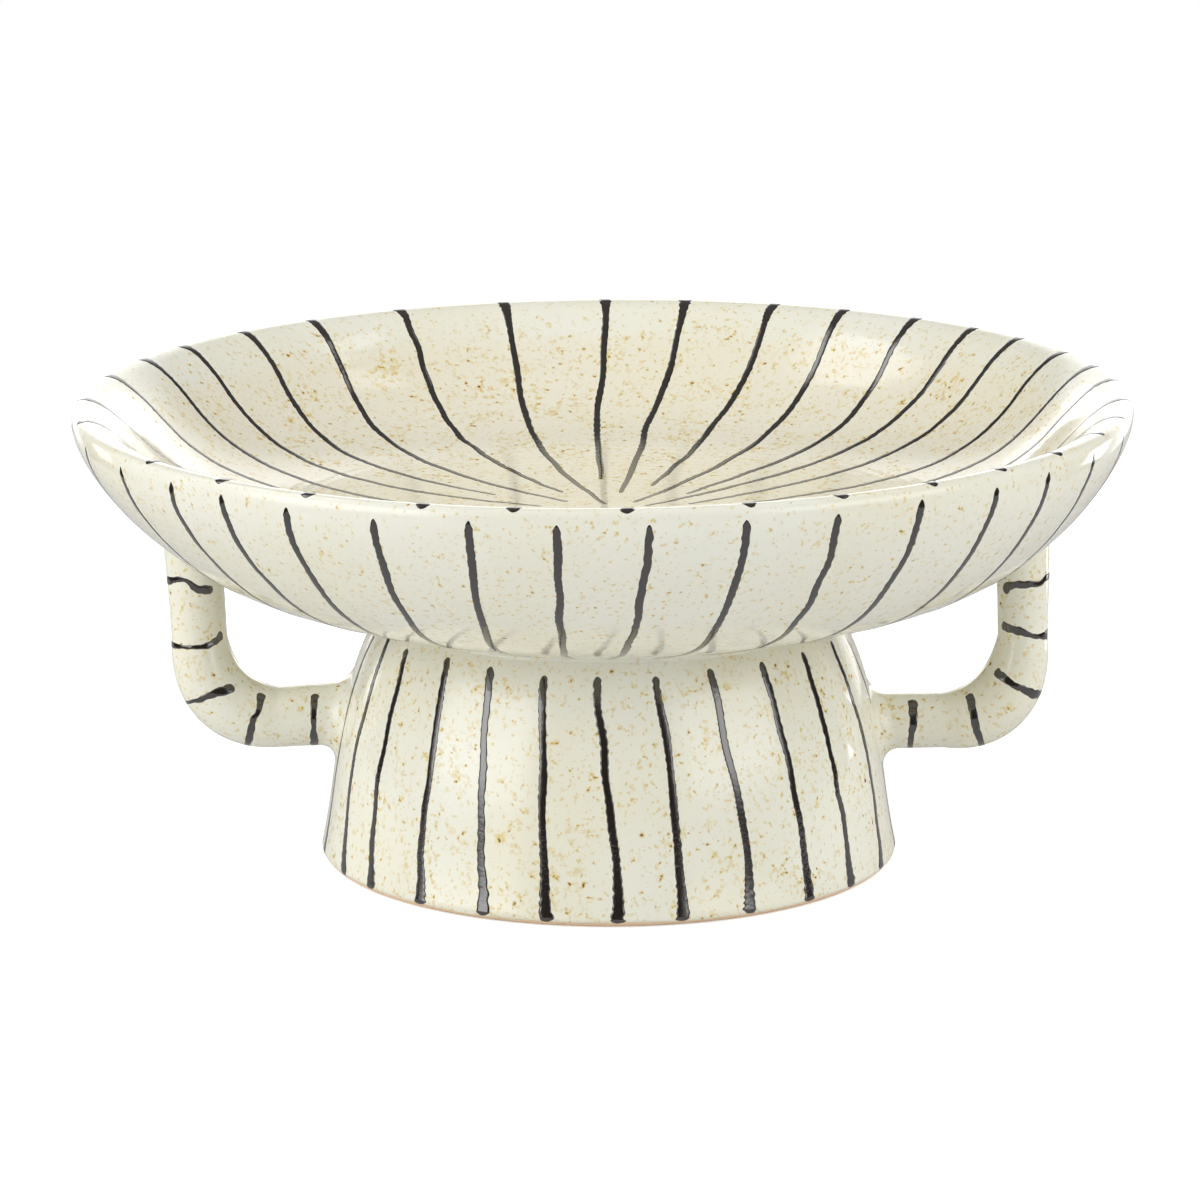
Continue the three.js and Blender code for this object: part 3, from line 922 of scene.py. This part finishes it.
floor_end = FLOOR_SIZE / 2
floor = flat_sheet("floor", floor_end, -floor_end, floor_end, white_paper)
floor.visible_glossy = False
mirrored_sheet = flat_sheet("mirrored_sheet", SHEET_HALF_WIDTH, SHEET_FRONT, SHEET_BACK, white_paper)
mirrored_sheet.visible_camera = False
mirrored_sheet.visible_diffuse = False
mirrored_sheet.visible_shadow = False

room = bpy.data.worlds.new("studio_room")
room.use_nodes = True
scene.world = room
direction = add_node(room, "ShaderNodeTexCoord", {}).outputs["Generated"]
axes = add_node(room, "ShaderNodeSeparateXYZ", {0: direction}).outputs
ramp = {
    "Value": axes["Z"],
    "From Min": ROOM_LOW_RISE,
    "From Max": ROOM_TOP_RISE,
    "To Min": ROOM_LOW,
    "To Max": ROOM_TOP,
}
level = add_node(room, "ShaderNodeMapRange", ramp, interpolation_type="SMOOTHSTEP").outputs["Result"]
turned_right = (math.sin(BACKDROP_TURN), math.cos(BACKDROP_TURN), 0)
facing = add_node(room, "ShaderNodeVectorMath", {0: direction, 1: turned_right}, operation="DOT_PRODUCT")
ramp = {"Value": facing.outputs["Value"], "From Min": BACKDROP_EDGE, "From Max": BACKDROP_FULL}
behind = add_node(room, "ShaderNodeMapRange", ramp, interpolation_type="SMOOTHSTEP").outputs["Result"]
ramp = {"Value": axes["Z"], "From Min": BACKDROP_TOP_RISE, "From Max": BACKDROP_FULL_RISE, "To Max": BACKDROP}
backdrop = add_node(room, "ShaderNodeMapRange", ramp, interpolation_type="SMOOTHSTEP").outputs["Result"]
lit = {0: behind, 1: backdrop, 2: level}
level = add_node(room, "ShaderNodeMath", lit, operation="MULTIPLY_ADD").outputs[0]
background = room.node_tree.nodes["Background"]
background.inputs["Color"].default_value = (1, 1, 1, 1)
rays = add_node(room, "ShaderNodeLightPath", {}).outputs
seen = {0: rays["Is Camera Ray"], 2: level, 3: 1.0}
level = add_node(room, "ShaderNodeMix", seen).outputs[0]
room.node_tree.links.new(level, background.inputs["Strength"])


def softbox(name, azimuth, elevation, distance, size, brightness):
    """A rectangular lamp that faces the dish, at degrees round from the back and up from the floor, and a
    distance. Its light fades across the edge by a smooth step. Its power is its brightness in the middle,
    where white paper is 1, times pi and its area."""
    lamp = bpy.data.lights.new(name, "AREA")
    lamp.shape = "RECTANGLE"
    lamp.size, lamp.size_y = ((1 + SOFT_EDGE) * side for side in size)
    lamp.energy = brightness * np.pi * lamp.size * lamp.size_y
    lamp.use_nodes = True
    emission = lamp.node_tree.nodes["Emission"]
    place = add_node(lamp, "ShaderNodeNewGeometry", {}).outputs["Parametric"]
    centred = {0: place, 1: (0.5, 0.5, 0)}
    centred = add_node(lamp, "ShaderNodeVectorMath", centred, operation="SUBTRACT").outputs[0]
    off_centre = add_node(lamp, "ShaderNodeVectorMath", {0: centred}, operation="ABSOLUTE").outputs[0]
    shares = []
    for side in add_node(lamp, "ShaderNodeSeparateXYZ", {0: off_centre}).outputs[:2]:
        ramp = {"Value": side, "From Min": 0.5, "From Max": 0.5 * (1 - SOFT_EDGE) / (1 + SOFT_EDGE)}
        share = add_node(lamp, "ShaderNodeMapRange", ramp, interpolation_type="SMOOTHSTEP").outputs["Result"]
        shares.append(share)
    share = add_node(lamp, "ShaderNodeMath", {0: shares[0], 1: shares[1]}, operation="MULTIPLY").outputs[0]
    lamp.node_tree.links.new(share, emission.inputs["Strength"])
    round_back, up = math.radians(azimuth), math.radians(elevation)
    towards = Vector((
        math.sin(round_back) * math.cos(up),
        math.cos(round_back) * math.cos(up),
        math.sin(up),
    ))
    holder = bpy.data.objects.new(name, lamp)
    holder.location = AIM + distance * towards
    holder.rotation_euler = towards.to_track_quat("Z", "Y").to_euler()
    scene.collection.objects.link(holder)
    return holder


# Per lamp: degrees round from the back and up from the floor, distance and size in metres, and brightness
for name, azimuth, elevation, distance, size, brightness in [
    ("left_front_softbox", -124, 16, LAMP_DISTANCE, (1.02, 0.86), 3.0),
    ("right_front_softbox", 126, 14.5, LAMP_DISTANCE, (1.05, 0.64), 2.3),
    ("left_side_softbox", -78, 49, LAMP_DISTANCE, (0.5, 0.62), 2.6),
    ("right_side_softbox", 63, 60, LAMP_DISTANCE, (0.2, 0.2), 1.5),
    ("right_back_strip", 58, -7, NEAR_DISTANCE, (0.1, 0.09), 4.6),
    ("left_back_strip", -50, -3, LAMP_DISTANCE, (0.2, 0.35), 1.9),
    ("right_back_panel", 17.5, 7, LAMP_DISTANCE, (0.48, 0.5), 1.65),
    ("left_back_panel", -13, 6, LAMP_DISTANCE, (0.22, 0.5), 1.3),
]:
    softbox(name, azimuth, elevation, distance, size, brightness)

# Per fill: the same without a distance
for name, azimuth, elevation, size, brightness in [
    ("top_fill", 0, 89, (1.6, 1.6), 0.16),
    ("front_fill", 180, 40, (1.6, 0.8), 0.31),
    ("front_low_fill", 180, 14, (1.2, 0.5), 0.52),
    ("left_fill", -90, 35, (1.2, 0.8), 1.85),
    ("right_fill", 90, 35, (1.2, 0.8), 2.65),
]:
    softbox(name, azimuth, elevation, LAMP_DISTANCE, size, brightness).visible_glossy = False

camera_data = bpy.data.cameras.new("camera")
camera_data.sensor_width = SENSOR
camera_data.lens = LENS
camera = bpy.data.objects.new("camera", camera_data)
camera.location = CAMERA_PLACE
camera.rotation_euler = (math.radians(90 - CAMERA_DIP), 0, 0)
scene.collection.objects.link(camera)
scene.camera = camera
